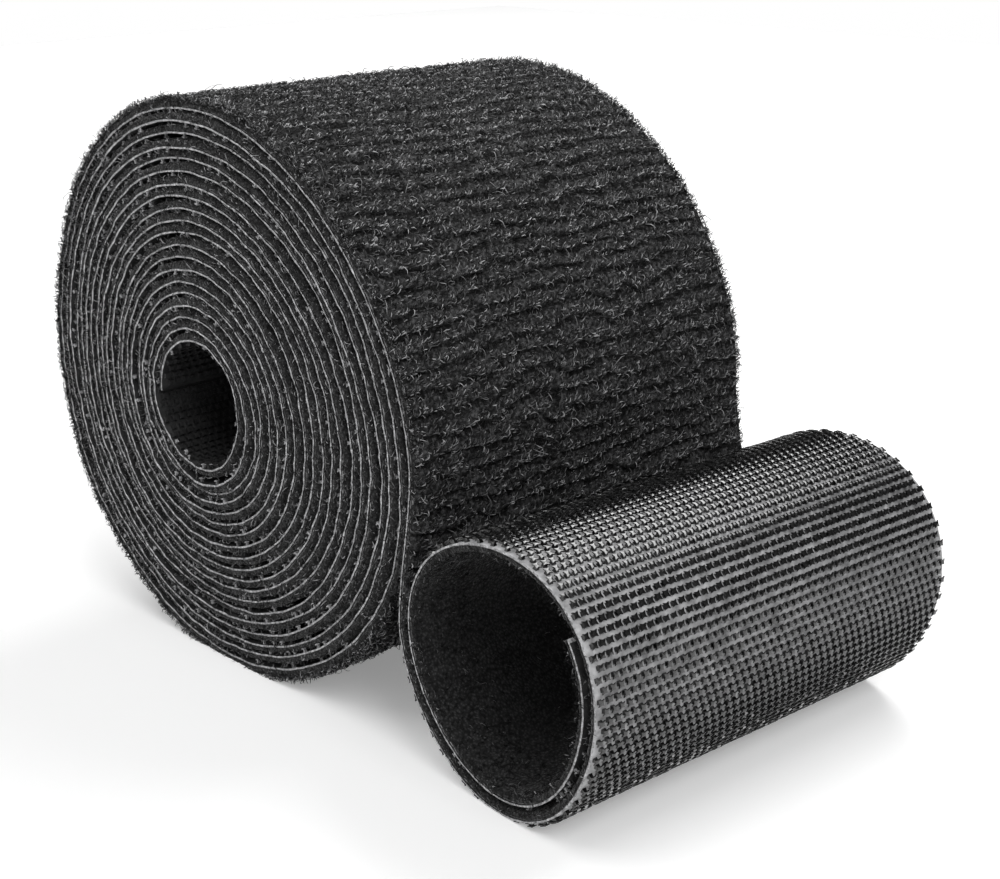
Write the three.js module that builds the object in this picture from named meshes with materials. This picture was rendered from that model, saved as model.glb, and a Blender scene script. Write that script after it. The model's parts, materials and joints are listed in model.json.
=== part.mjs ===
// Hook and loop tape, wound without a core, with its loose end curled into a small coil beside the roll.
// Millimetres, +Z up. The roll's axis runs along Y, and the small coil stands on its +X side.
// The tape is two plies bonded back to back: a moulded film with the hooks and a knitted fabric with the loops.
// In the roll the hooks face the axis and the loops face out; in the small coil it is the other way round.

import * as THREE from "three";

// The tape. Turns also leave room for the hooks and the nap that stand between one turn and the next.
const tapeWidth = 50;
const filmThickness = 0.3;
const glueLine = 0.08;
const fabricThickness = 0.3;
const rollPile = 0.57;
const coilPile = 0.9;

// The roll. Its radii are those of the film's middle, at the outermost and the innermost turn.
const rollRadius = 31.5;
const boreRadius = 6.8;
const boreShift = { across: -3.7, up: -1 };
const rollOval = { across: -0.09, slant: -0.73 };
const rollTrefoil = { across: 0.27, slant: -0.13 };

// The loose end hangs from the roll at 3 o'clock, leans out a little and turns towards the front.
const peelGap = 0.3;
const looseLean = 0.9;
const looseForward = 0.8;
const looseYaw = THREE.MathUtils.degToRad(-4.6);

// The small coil, from 9 o'clock where the loose end runs into it.
const coilRadius = 14.5;
const coilTrefoil = { across: -0.21, slant: 0.37 };
const coilTurned = THREE.MathUtils.degToRad(577.5);

// Both stand on the floor on a flat, pressed this deep into their round.
const restFlat = 0.5;

// Steps along the tape
const turnSteps = 24;
const looseSteps = 6;

const fullTurn = 2 * Math.PI;
const stepAngle = fullTurn / turnSteps;
const sixOClock = 0.75 * fullTurn;
const tapeThickness = filmThickness + glueLine + fabricThickness;
const rollPitch = tapeThickness + rollPile;
const coilPitch = tapeThickness + coilPile;

// The innermost turn ends at the bore's 9 o'clock, half a turn past a whole number of turns.
const rollTurns = Math.floor((rollRadius - boreRadius) / rollPitch) + 0.5;

const filmMaterial = new THREE.MeshStandardMaterial({ color: 0x8f9092, roughness: 0.35, metalness: 0 });
const fabricMaterial = new THREE.MeshStandardMaterial({ color: 0x26262a, roughness: 0.95, metalness: 0 });

// Each ply runs from one depth to another beside the middle of the film, towards the loop side.
const fabricInner = filmThickness / 2 + glueLine;
const plies = [
  { name: "hook_film", inner: -filmThickness / 2, outer: filmThickness / 2, material: filmMaterial },
  { name: "loop_fabric", inner: fabricInner, outer: fabricInner + fabricThickness, material: fabricMaterial },
];

function lobes(shape, count, angle) {
  return shape.across * Math.cos(count * angle) + shape.slant * Math.sin(count * angle);
}

// The roll's film, at an angle counted back along the tape from where it leaves the roll at 3 o'clock.
function rollShare(angle) {
  return angle / (fullTurn * rollTurns);
}

function rollReach(angle) {
  const inward = rollShare(angle);
  const bulge = lobes(rollOval, 2, angle) + lobes(rollTrefoil, 3, angle);
  return rollRadius + (boreRadius - rollRadius) * inward + bulge * (1 - inward);
}

function rollFlat(angle) {
  const bottom = Math.floor(angle / fullTurn) * fullTurn + sixOClock;
  const inward = rollShare(bottom);
  return boreShift.up * inward - rollReach(bottom) + restFlat * (1 - inward);
}

function rollPoint(angle) {
  const inward = rollShare(angle);
  const reach = rollReach(angle);
  const x = boreShift.across * inward + reach * Math.cos(angle);
  const z = boreShift.up * inward + reach * Math.sin(angle);
  return { x, z: Math.max(z, rollFlat(angle)) };
}

// The coil's film, at an angle turned from 9 o'clock, first down and then round under the coil.
function coilReach(turned) {
  const bulge = lobes(coilTrefoil, 3, turned + Math.PI);
  return coilRadius + bulge - (coilPitch * turned) / fullTurn;
}

function coilFlat(turned) {
  const bottom = Math.floor(turned / fullTurn) * fullTurn + fullTurn / 4;
  return restFlat - coilReach(bottom);
}

function coilPoint(turned) {
  const reach = coilReach(turned);
  const x = -reach * Math.cos(turned);
  const z = -reach * Math.sin(turned);
  return { x, z: Math.max(z, coilFlat(turned)) };
}

const rollHeight = filmThickness / 2 + glueLine + fabricThickness - rollFlat(sixOClock);
const coilHeight = filmThickness / 2 - coilFlat(fullTurn / 4);

// A station is a place along the tape: the middle of the film's width there, and the way its width runs.
function station(x, y, z, yaw) {
  return {
    middle: new THREE.Vector3(x, y, z),
    across: new THREE.Vector3(-Math.sin(yaw), Math.cos(yaw), 0),
  };
}

// Angles stand half a step off the clock's quarters, so that one flat facet lies at 6 o'clock.
function rollStations() {
  const angles = [0];
  const last = fullTurn * rollTurns;
  for (let angle = stepAngle / 2; angle < last; angle += stepAngle) {
    angles.push(angle);
  }
  angles.push(last);
  return angles.reverse().map((angle) => {
    const { x, z } = rollPoint(angle);
    return station(x, 0, rollHeight + z, 0);
  });
}

const peel = rollPoint(0);
const foot = { x: peel.x + looseLean, y: -looseForward };
const coilCentre = {
  x: foot.x + coilReach(0) * Math.cos(looseYaw),
  y: foot.y + coilReach(0) * Math.sin(looseYaw),
};

function looseStations() {
  const top = rollHeight - peelGap;
  const stations = [];
  for (let step = 0; step < looseSteps; step += 1) {
    const down = step / looseSteps;
    const eased = down * down * (3 - 2 * down);
    const x = peel.x + looseLean * eased;
    const y = -looseForward * eased;
    stations.push(station(x, y, top + (coilHeight - top) * down, looseYaw * eased));
  }
  return stations;
}

function coilStations() {
  const stations = [];
  for (let turned = stepAngle / 2; turned <= coilTurned; turned += stepAngle) {
    const { x, z } = coilPoint(turned);
    const placeX = coilCentre.x + x * Math.cos(looseYaw);
    const placeY = coilCentre.y + x * Math.sin(looseYaw);
    stations.push(station(placeX, placeY, coilHeight + z, looseYaw));
  }
  return stations;
}

// The way from the hook side to the loop side, square to one facet of the tape.
function facetNormal(stations, index) {
  const along = stations[index + 1].middle.clone().sub(stations[index].middle);
  return along.cross(stations[index].across).normalize();
}

// At a station the plies are mitred, so that each facet keeps its thickness.
function addMitres(stations) {
  const last = stations.length - 1;
  stations.forEach((place, index) => {
    const before = facetNormal(stations, Math.max(index - 1, 0));
    const after = facetNormal(stations, Math.min(index, last - 1));
    place.mitre = before.clone().add(after).divideScalar(1 + before.dot(after));
  });
}

function edgePoint(place, depth, side) {
  const point = place.middle.clone().addScaledVector(place.mitre, depth);
  return point.addScaledVector(place.across, (side * tapeWidth) / 2);
}

// A ply is one unbroken strip with four long faces and an end face at each end. Its two broad faces split
// along the same diagonal, so that plies that twist together stay apart.
function plyGeometry(stations, ply, origin) {
  const positions = [];
  stations.forEach((place) => {
    const ring = [
      edgePoint(place, ply.inner, -1),
      edgePoint(place, ply.outer, -1),
      edgePoint(place, ply.outer, 1),
      edgePoint(place, ply.inner, 1),
    ];
    ring.forEach((point) => positions.push(...point.sub(origin).toArray()));
  });
  const faces = [];
  const addQuad = (a, b, c, d) => faces.push(a, b, c, a, c, d);
  for (let first = 0; first + 4 < stations.length * 4; first += 4) {
    addQuad(first, first + 4, first + 5, first + 1);
    addQuad(first + 1, first + 5, first + 6, first + 2);
    addQuad(first + 2, first + 6, first + 7, first + 3);
    addQuad(first + 7, first + 4, first, first + 3);
  }
  const end = (stations.length - 1) * 4;
  addQuad(0, 1, 2, 3);
  addQuad(end + 3, end + 2, end + 1, end);
  const geometry = new THREE.BufferGeometry();
  geometry.setAttribute("position", new THREE.Float32BufferAttribute(positions, 3));
  geometry.setIndex(faces);
  geometry.computeVertexNormals();
  return geometry;
}

// The least gap of a ply to its own other turns, measured from points on one face to the facets of the other.
function leastGap(stations, ply) {
  const closest = new THREE.Vector3();
  let least = Infinity;
  [-1, 0, 1].forEach((side) => {
    const outer = stations.map((place) => edgePoint(place, ply.outer, side));
    const inner = stations.map((place) => edgePoint(place, ply.inner, side));
    outer.forEach((point, index) => {
      for (let other = 0; other + 1 < inner.length; other += 1) {
        if (Math.abs(other - index) > turnSteps / 2) {
          new THREE.Line3(inner[other], inner[other + 1]).closestPointToPoint(point, true, closest);
          least = Math.min(least, closest.distanceTo(point));
        }
      }
    });
  });
  return least;
}

const wound = rollStations();
const tape = [...wound, ...looseStations(), ...coilStations()];
addMitres(tape);

function addPlies(group, prefix, stations) {
  plies.forEach((ply) => {
    const mesh = new THREE.Mesh(plyGeometry(stations, ply, group.position), ply.material);
    mesh.name = `${prefix}_${ply.name}`;
    group.add(mesh);
  });
}

// The roll turns about its axis; the loose end bends at the line where it leaves the roll.
const roll = new THREE.Group();
roll.position.set(0, 0, rollHeight);
addPlies(roll, "roll", tape.slice(0, wound.length));

const looseEnd = new THREE.Group();
looseEnd.position.set(peel.x + fabricInner + fabricThickness, 0, rollHeight - peelGap / 2);
addPlies(looseEnd, "tail", tape.slice(wound.length));

plies.forEach((ply) => {
  console.log(`${ply.name}: least gap to itself ${leastGap(tape, ply).toFixed(2)} mm`);
});

// The origin is the middle of the bottom of the whole tape's box.
const hookAndLoopTape = new THREE.Group();
hookAndLoopTape.add(roll, looseEnd);
const bounds = new THREE.Box3().setFromObject(hookAndLoopTape);
const centre = bounds.getCenter(new THREE.Vector3());
hookAndLoopTape.position.set(-centre.x, -centre.y, -bounds.min.z);

export default hookAndLoopTape;
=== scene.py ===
import json
import math

import bpy
import numpy as np
from mathutils import Matrix, Vector


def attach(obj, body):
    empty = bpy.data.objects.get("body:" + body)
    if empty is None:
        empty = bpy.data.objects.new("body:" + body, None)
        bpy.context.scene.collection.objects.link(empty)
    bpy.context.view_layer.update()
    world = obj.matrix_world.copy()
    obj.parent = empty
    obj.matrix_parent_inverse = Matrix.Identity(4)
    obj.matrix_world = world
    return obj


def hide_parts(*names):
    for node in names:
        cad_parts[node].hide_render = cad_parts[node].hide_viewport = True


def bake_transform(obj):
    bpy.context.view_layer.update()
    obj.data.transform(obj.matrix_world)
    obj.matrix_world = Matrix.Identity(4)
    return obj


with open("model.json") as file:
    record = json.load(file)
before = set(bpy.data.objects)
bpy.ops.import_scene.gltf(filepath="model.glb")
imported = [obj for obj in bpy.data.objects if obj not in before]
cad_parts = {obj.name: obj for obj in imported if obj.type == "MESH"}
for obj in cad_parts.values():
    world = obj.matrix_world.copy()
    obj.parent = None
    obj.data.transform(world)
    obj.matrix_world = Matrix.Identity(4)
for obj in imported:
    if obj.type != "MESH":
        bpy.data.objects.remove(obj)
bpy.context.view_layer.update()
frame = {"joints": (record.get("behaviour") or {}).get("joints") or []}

random = np.random.default_rng(seed=11)

# The sizes of the solids, in metres
MM = 0.001
TURN = 2 * math.pi
TAPE_WIDTH = 50 * MM
HALF = TAPE_WIDTH / 2
FILM = 0.3 * MM
GLUE = 0.08 * MM
FABRIC = 0.3 * MM
TAPE_THICKNESS = FILM + GLUE + FABRIC
ROLL_PITCH = TAPE_THICKNESS + 0.57 * MM
COIL_PITCH = TAPE_THICKNESS + 0.9 * MM
ROLL_RADIUS = 31.5 * MM
BORE_RADIUS = 6.8 * MM
BORE_SHIFT = (-3.7 * MM, -1 * MM)
ROLL_OVAL = (-0.09 * MM, -0.73 * MM)
ROLL_TREFOIL = (0.27 * MM, -0.13 * MM)
PEEL_GAP = 0.3 * MM
LOOSE_LEAN = 0.9 * MM
LOOSE_FORWARD = 0.8 * MM
LOOSE_YAW = math.radians(-4.6)
COIL_RADIUS = 14.5 * MM
COIL_TREFOIL = (-0.21 * MM, 0.37 * MM)
COIL_TURNED = math.radians(577.5)
REST_FLAT = 0.5 * MM

# The roll's innermost turn ends half a turn past a whole number of turns
ROLL_TURNS = math.floor((ROLL_RADIUS - BORE_RADIUS) / ROLL_PITCH) + 0.5

# Angles at which the roll and the small coil come to 6 o'clock
ROLL_BOTTOM = 0.75 * TURN
COIL_BOTTOM = 0.25 * TURN

# Depths from the middle of the film towards the loop side. The film takes in the bond, and the fabric its
# packed pile.
FILM_INNER = -FILM / 2
FILM_OUTER = 0.17 * MM
FABRIC_TOP = FILM / 2 + GLUE + FABRIC
PILE_FOOT = 0.7 * MM
PILE_TOP = 0.8 * MM

# The winding is never quite even. Its slack runs in waves round the roll, and its edges stand in and out in
# waves along the tape. Each wave has a share, a rate for each radian or each millimetre, and a phase.
TURN_SLACK = 0.07 * MM
TURN_WAVES = [(1, 1.37, 1.1), (0.6, 2.61, 0.4), (0.45, 5.3, 2.2), (0.35, 17.3, 0.7), (0.3, 29.9, 0)]
EDGE_SLACK = 0.14 * MM
EDGE_WAVES = [(1, 1 / 19, 0.8), (0.7, 1 / 7.3, 0), (0.5, 1 / 3.1, 2), (0.3, 1 / 0.9, 0), (0.25, 1 / 0.53, 1)]
EDGE_CALM = 60 * MM

# Some turns stand off further: where and how widely, in turns from the tape's tip, and how far
LOOSE_TURNS = [(1.62, 0.2, 0.6 * MM), (2.6, 0.2, 0.22 * MM), (5.5, 0.2, -0.18 * MM), (9.6, 0.4, 0.15 * MM)]

# Steps along the smooth tape
STATION_STEP = 0.45 * MM
LOOSE_STEPS = 60

# The largest piece, in triangles
PIECE_TRIANGLES = 180000

# The room under the small coil's film, where it rests, for the hooks that are pressed down there
HEAD_ROOM = 0.06 * MM

# Keeps a division clear of zero
TINY = 1e-12


# The tape's path
def ease(share):
    """Runs from 0 to 1 with a soft start and end."""
    return share * share * (3 - 2 * share)


def lobes(shape, count, angle):
    return shape[0] * np.cos(count * angle) + shape[1] * np.sin(count * angle)


def waves_at(place, waves):
    return sum(share * np.sin(rate * place + phase) for share, rate, phase in waves)


def roll_slack(angle):
    """How far the winding stands off its even spiral."""
    from_tip = ROLL_TURNS - angle / TURN
    ends = np.clip(angle / TURN, 0, 1) * np.clip(from_tip, 0, 1)
    slack = TURN_SLACK * waves_at(angle, TURN_WAVES) * ends
    for at, width, height in LOOSE_TURNS:
        slack += height * np.exp(-(((from_tip - at) / width) ** 2))
    return slack


def roll_even_reach(angle):
    inward = angle / (TURN * ROLL_TURNS)
    bulge = lobes(ROLL_OVAL, 2, angle) + lobes(ROLL_TREFOIL, 3, angle)
    return ROLL_RADIUS + (BORE_RADIUS - ROLL_RADIUS) * inward + bulge * (1 - inward)


def pressed(height, lowest, press):
    """The lower half of a turn, pressed up so that its lowest point rises by so much."""
    return np.where(height < 0, height * (1 + press / lowest), height)


def roll_bottom(angle):
    """How low the turn at this angle would reach, and how far it is pressed up there."""
    bottom = np.floor(angle / TURN) * TURN + ROLL_BOTTOM
    inward = bottom / (TURN * ROLL_TURNS)
    return BORE_SHIFT[1] * inward - roll_even_reach(bottom), REST_FLAT * (1 - inward)


def roll_point(angle):
    """The roll's film, at an angle counted back along the tape from where it leaves the roll at 3 o'clock."""
    inward = angle / (TURN * ROLL_TURNS)
    reach = roll_even_reach(angle) + roll_slack(angle)
    x = BORE_SHIFT[0] * inward + reach * np.cos(angle)
    z = BORE_SHIFT[1] * inward + reach * np.sin(angle)
    return x, pressed(z, *roll_bottom(angle))


def coil_reach(turned):
    return COIL_RADIUS + lobes(COIL_TREFOIL, 3, turned + math.pi) - COIL_PITCH * turned / TURN


def coil_point(turned):
    """The coil's film, at an angle turned from 9 o'clock, first down and then round under the coil."""
    bottom = np.floor(turned / TURN) * TURN + COIL_BOTTOM
    reach = coil_reach(turned)
    return -reach * np.cos(turned), pressed(-reach * np.sin(turned), -coil_reach(bottom), REST_FLAT)


PEEL_X = float(roll_point(np.array([0.0]))[0][0])
ROLL_HEIGHT = FABRIC_TOP - float(sum(roll_bottom(0.0)))
COIL_HEIGHT = FILM / 2 - REST_FLAT + float(coil_reach(COIL_BOTTOM))

# The loose end's hinge lies on the tape's outer face, half the slit below the height of the roll's axis.
hinge = Vector(frame["joints"][0]["pos_m"])
roll_axis = hinge - Vector((PEEL_X + FABRIC_TOP, 0, -PEEL_GAP / 2))
to_frame = np.array([roll_axis.x, roll_axis.y, roll_axis.z - ROLL_HEIGHT])


def wound_angles():
    """Angles from the tape's tip to where it leaves the roll, in about even steps of the tape."""
    whole = math.pi * (ROLL_RADIUS + BORE_RADIUS) * ROLL_TURNS
    radius = np.sqrt(np.linspace(BORE_RADIUS**2, ROLL_RADIUS**2, int(whole / STATION_STEP) + 1))
    return TURN * ROLL_TURNS * (ROLL_RADIUS - radius) / (ROLL_RADIUS - BORE_RADIUS)


# A station is a place along the tape: the middle of the film, and the yaw of the tape's width.
def wound_stations():
    x, z = roll_point(wound_angles())
    return np.stack([x, np.zeros_like(x), ROLL_HEIGHT + z, np.zeros_like(x)], 1)


def loose_stations():
    down = np.linspace(0, 1, LOOSE_STEPS + 1)[1:]
    eased = ease(down)
    fall = ROLL_HEIGHT + (COIL_HEIGHT - ROLL_HEIGHT) * down
    return np.stack([PEEL_X + LOOSE_LEAN * eased, -LOOSE_FORWARD * eased, fall, LOOSE_YAW * eased], 1)


def coil_stations(foot):
    """The small coil, from the loose end's foot at its 9 o'clock."""
    turned = np.linspace(0, COIL_TURNED, int(COIL_TURNED * COIL_RADIUS / STATION_STEP) + 1)[1:]
    x, z = coil_point(turned)
    reach = float(coil_reach(0.0)) + x
    place_x = foot[0] + reach * math.cos(LOOSE_YAW)
    place_y = foot[1] + reach * math.sin(LOOSE_YAW)
    return np.stack([place_x, place_y, COIL_HEIGHT + z, np.full_like(x, LOOSE_YAW)], 1)


def tape_path(wound):
    """The tape from its tip in the bore to its other tip: length, middle, across, out and along."""
    loose = loose_stations()
    stations = np.vstack([wound, loose, coil_stations(loose[-1])])
    middle = stations[:, :3] + to_frame
    yaw = stations[:, 3]
    across = np.stack([-np.sin(yaw), np.cos(yaw), np.zeros_like(yaw)], 1)
    steps = np.linalg.norm(np.diff(middle, axis=0), axis=1)
    length = np.concatenate([[0], np.cumsum(steps)])
    along = np.gradient(middle, length, axis=0)
    along /= np.linalg.norm(along, axis=1, keepdims=True)
    out = np.cross(along, across)
    out /= np.linalg.norm(out, axis=1, keepdims=True)
    return length, middle, across, out, along


wound_part = wound_stations()
PEEL_INDEX = len(wound_part) - 1
LENGTH, MIDDLE, ACROSS, OUT, ALONG = tape_path(wound_part)
LAST_INDEX = len(LENGTH) - 1
PEEL_LENGTH = LENGTH[PEEL_INDEX]
COIL_FOOT_LENGTH = LENGTH[PEEL_INDEX + LOOSE_STEPS]
END_LENGTH = LENGTH[-1]


def length_at(angle):
    """The tape's length where it passes an angle of the roll."""
    return float(np.interp(-angle, -wound_angles(), LENGTH[: PEEL_INDEX + 1]))


OUTER_TURN_START = length_at(TURN)
TOP_LENGTH = length_at(TURN / 4)
INNER_COIL_START = END_LENGTH - TURN * (COIL_RADIUS - COIL_PITCH)


def edge_shift(length):
    """How far the tape lies off the middle of the winding, which lets its edges stand in and out."""
    wound_share = np.clip((PEEL_LENGTH - length) / EDGE_CALM, 0, 1)
    return EDGE_SLACK * waves_at(length / MM, EDGE_WAVES) * wound_share


def frames_at(length):
    """The tape's middle and its three directions at each length."""
    found = []
    for values in (MIDDLE, ACROSS, OUT, ALONG):
        found.append(np.stack([np.interp(length, LENGTH, values[:, axis]) for axis in range(3)], 1))
    found[0] += found[1] * edge_shift(length)[:, None]
    return found


# Meshes. Each cell of a map keeps this share as its rim.
MAP_CELL_RIM = 0.05


def add_mesh(name, points, faces, materials, face_slots=None, smooth=True, places=None):
    """A mesh from points and lists of faces with as many corners each, with a map where one is given."""
    mesh = bpy.data.meshes.new(name)
    corners = np.concatenate([np.asarray(part).reshape(-1) for part in faces]).astype(np.int32)
    sizes = np.concatenate([np.full(len(part), np.asarray(part).shape[1]) for part in faces])
    starts = np.concatenate([[0], np.cumsum(sizes)[:-1]]).astype(np.int32)
    mesh.vertices.add(len(points))
    mesh.vertices.foreach_set("co", np.asarray(points, np.float32).reshape(-1))
    mesh.loops.add(len(corners))
    mesh.loops.foreach_set("vertex_index", corners)
    mesh.polygons.add(len(starts))
    mesh.polygons.foreach_set("loop_start", starts)
    mesh.polygons.foreach_set("use_smooth", np.full(len(starts), smooth))
    for material in materials:
        mesh.materials.append(material)
    if face_slots is not None:
        mesh.polygons.foreach_set("material_index", np.asarray(face_slots, np.int32))
    mesh.update(calc_edges=True)
    if places is not None:
        layer = mesh.uv_layers.new(name="OFBake")
        layer.uv.foreach_set("vector", np.asarray(places, np.float32)[corners].reshape(-1))
    piece = bpy.data.objects.new(name, mesh)
    bpy.context.scene.collection.objects.link(piece)
    return piece


def own_cells(count, shape):
    """Places on a map for copies of one shape, each in a cell of its own."""
    wide = math.ceil(math.sqrt(count))
    number = np.arange(count)
    corner = np.stack([number % wide, number // wide], 1)[:, None]
    inner = MAP_CELL_RIM + (1 - 2 * MAP_CELL_RIM) * np.asarray(shape)[None]
    return ((corner + inner) / wide).reshape(-1, 2)


def around(ring, heading):
    """A place on a copy's own map: so far from its middle, in this direction."""
    return 0.5 + ring * math.cos(heading), 0.5 + ring * math.sin(heading)


def in_pieces(name, parts, triangles_each, make):
    """Shares copies out over as many pieces as their size needs."""
    total = len(parts[0])
    count = max(1, math.ceil(total * triangles_each / PIECE_TRIANGLES))
    pieces = []
    for number in range(count):
        share = slice(total * number // count, total * (number + 1) // count)
        pieces.append(make(f"{name}_{number + 1}", [part[share] for part in parts]))
    return pieces


# A ply's long edge, from its inner face to its outer one: depth, and inset from the tape's edge
FILM_PROFILE = [
    (FILM_INNER, 0.03 * MM),
    (-0.12 * MM, 0),
    (0.05 * MM, 0),
    (0.08 * MM, 0.07 * MM),
    (FILM_OUTER, 0.09 * MM),
]
FABRIC_PROFILE = [
    (0.16 * MM, 0.12 * MM),
    (0.26 * MM, 0.08 * MM),
    (0.5 * MM, 0.14 * MM),
    (0.72 * MM, 0.3 * MM),
    (PILE_TOP, 0.5 * MM),
]

# The points of a ply are rough across the tape, and by this share of that in depth
DEPTH_ROUGH_SHARE = 0.4

# A ply's materials: its broad faces, its long edges, its inner face where other turns cover it, which takes a
# darker copy of the film as painted shade, and so many faces of each long edge next to the outer face
BROAD, EDGE, SHADED_INNER, OUTER_EDGE = range(4)
OUTER_EDGE_FACES = 2


def ply_points(ring, length, roughness, lowest):
    """Rings of points along a ply, none of them lower than the lowest height."""
    middle, across, out, _ = frames_at(length)
    points = []
    for depth, side in ring:
        rough = random.normal(0, roughness, (2, len(length), 1))
        points.append(middle + out * (depth + DEPTH_ROUGH_SHARE * rough[0]) + across * (side + rough[1]))
    points = np.stack(points, 1).reshape(-1, 3)
    points[:, 2] = np.maximum(points[:, 2], lowest)
    return points


def ply_faces(rings, count):
    """The long faces between rings of so many points, and the two end faces."""
    rows = np.arange(rings - 1)[:, None] * count
    column = np.arange(count)[None, :]
    after = (column + 1) % count
    quads = np.stack([rows + column, rows + column + count, rows + after + count, rows + after], -1)
    end = (rings - 1) * count
    caps = np.array([list(range(count)), [end + corner for corner in reversed(range(count))]])
    return [quads.reshape(-1, 4), caps]


def ply_slots(length, profile, shade_span):
    """The materials of a ply's faces. Between the lengths of the shade span other turns lie over its inner
    face, which is painted dark there as painted shade.
    """
    count = 2 * len(profile)
    place = np.tile(np.arange(count), len(length) - 1)
    is_inner = place == count - 1
    from_outer = np.abs(place - (len(profile) - 1))
    slots = np.where(from_outer <= OUTER_EDGE_FACES, OUTER_EDGE, EDGE)
    slots[is_inner | (from_outer == 0)] = BROAD
    reached = np.repeat(length[1:], count)
    slots[is_inner & (reached > shade_span[0]) & (reached < shade_span[1])] = SHADED_INNER
    return np.concatenate([slots, [EDGE, EDGE]])


def ribbon(name, first, last, profile, roughness, materials, shade_span=(0, 0), lowest=0):
    """A ply of the tape between two stations."""
    length = LENGTH[first: last + 1]
    ring = [(depth, inset - HALF) for depth, inset in profile]
    ring += [(depth, HALF - inset) for depth, inset in reversed(profile)]
    points = ply_points(ring, length, roughness, lowest)
    slots = np.minimum(ply_slots(length, profile, shade_span), len(materials) - 1)
    return add_mesh(name, points, ply_faces(len(length), len(ring)), materials, slots)


def dress(pieces, loose):
    """Sets what the pieces ride on: the roll's pieces ride on its body, and the loose end's pieces keep their
    places in the world.
    """
    for piece in pieces:
        if loose:
            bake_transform(piece)
        else:
            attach(piece, "roll")


# A hook: a tapered stem under a flat head with four points and four waists between them. The head rises by
# this slope towards the tape's end.
HOOK_HEIGHT = 0.5 * MM
HOOK_SINK = 0.02 * MM
HEAD_POINT = (0.35 * MM, 0.35 * MM)
HEAD_WAIST = (0.24 * MM, 0.24 * MM)
HEAD_SLOPE = 0.1
HEAD_DROP = 0.02 * MM
STEM_FOOT = (0.24 * MM, 0.23 * MM)
STEM_NECK = (0.16 * MM, 0.16 * MM)

# Heights in a hook as shares of its own, and the rim's width as a share of the head's
NECK_SHARE = 0.62
UNDER_POINT_SHARE = 0.66
UNDER_WAIST_SHARE = 0.72
RIM_POINT_SHARE = 0.9
RIM_WAIST_SHARE = 0.95
RIM_WIDTH_SHARE = 0.93

# Rings on a hook's own map: foot, neck, the head's underside, its rim and its top
HOOK_MAP_RINGS = (0.5, 0.42, 0.34, 0.26, 0.0)

# How much the hooks differ in twist, lean and size
HOOK_TWIST = 0.07
HOOK_LEAN = 0.05
HOOK_SIZE_SPREAD = 0.04

# Hooks facing down by more than this share keep a gap to the floor and at least this share of their height
DOWN_SHARE = 0.02
FLOOR_GAP = 0.02 * MM
PRESSED_SHARE = 0.2


def hook_points(signs):
    """A hook's foot, neck, underside, rim and top."""
    foot = [(sx * STEM_FOOT[0], sy * STEM_FOOT[1], -HOOK_SINK) for sx, sy in signs]
    neck = [(sx * STEM_NECK[0], sy * STEM_NECK[1], NECK_SHARE * HOOK_HEIGHT) for sx, sy in signs]
    under, rim = [], []
    for (sx, sy), (ahead_x, ahead_y) in zip(signs, signs[1:] + signs[:1]):
        point = (sx * HEAD_POINT[0], sy * HEAD_POINT[1])
        waist = ((sx + ahead_x) / 2 * HEAD_WAIST[0], (sy + ahead_y) / 2 * HEAD_WAIST[1])
        under += [(*point, UNDER_POINT_SHARE * HOOK_HEIGHT), (*waist, UNDER_WAIST_SHARE * HOOK_HEIGHT)]
        rim += [(*point, RIM_POINT_SHARE * HOOK_HEIGHT), (*waist, RIM_WAIST_SHARE * HOOK_HEIGHT)]
    rim = [(RIM_WIDTH_SHARE * x, RIM_WIDTH_SHARE * y, z) for x, y, z in rim]
    head = [(x, y, z + HEAD_SLOPE * y - HEAD_DROP) for x, y, z in under + rim + [(0, 0, HOOK_HEIGHT)]]
    return foot + neck + head


def hook_triangles(stem_corners):
    head_corners = 2 * stem_corners
    under_start = 2 * stem_corners
    rim_start = under_start + head_corners
    top = rim_start + head_corners
    triangles = [(0, 2, 1), (0, 3, 2)]
    for here in range(stem_corners):
        ahead = (here + 1) % stem_corners
        neck = stem_corners + here
        neck_ahead = stem_corners + ahead
        point = under_start + 2 * here
        waist = point + 1
        point_ahead = under_start + 2 * ahead
        triangles += [(here, ahead, neck_ahead), (here, neck_ahead, neck)]
        triangles += [(neck, waist, point), (neck, neck_ahead, waist), (neck_ahead, point_ahead, waist)]
    for here in range(head_corners):
        ahead = (here + 1) % head_corners
        under = under_start + here
        rim = rim_start + here
        rim_ahead = rim_start + ahead
        triangles += [(under, under_start + ahead, rim_ahead), (under, rim_ahead, rim), (rim, rim_ahead, top)]
    return triangles


def hook_template():
    """A hook's points and triangles, and its points' places on its own map."""
    signs = [(-1, -1), (1, -1), (1, 1), (-1, 1)]
    corners = len(signs)
    points = hook_points(signs)
    rings = np.repeat(HOOK_MAP_RINGS, [corners, corners, 2 * corners, 2 * corners, 1])
    places = [around(ring, math.atan2(y, x)) for (x, y, _), ring in zip(points, rings)]
    return np.array(points), np.array(hook_triangles(corners)), places


HOOK_POINTS, HOOK_TRIANGLES, HOOK_PLACES = hook_template()


def height_share(foot, out):
    """How much of its height each hook keeps. Those over the floor are pressed down."""
    room = (foot[:, 2] - FLOOR_GAP) / np.maximum(out[:, 2] * HOOK_HEIGHT, TINY)
    return np.where(out[:, 2] > DOWN_SHARE, np.clip(room, PRESSED_SHARE, 1), 1.0)


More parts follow.
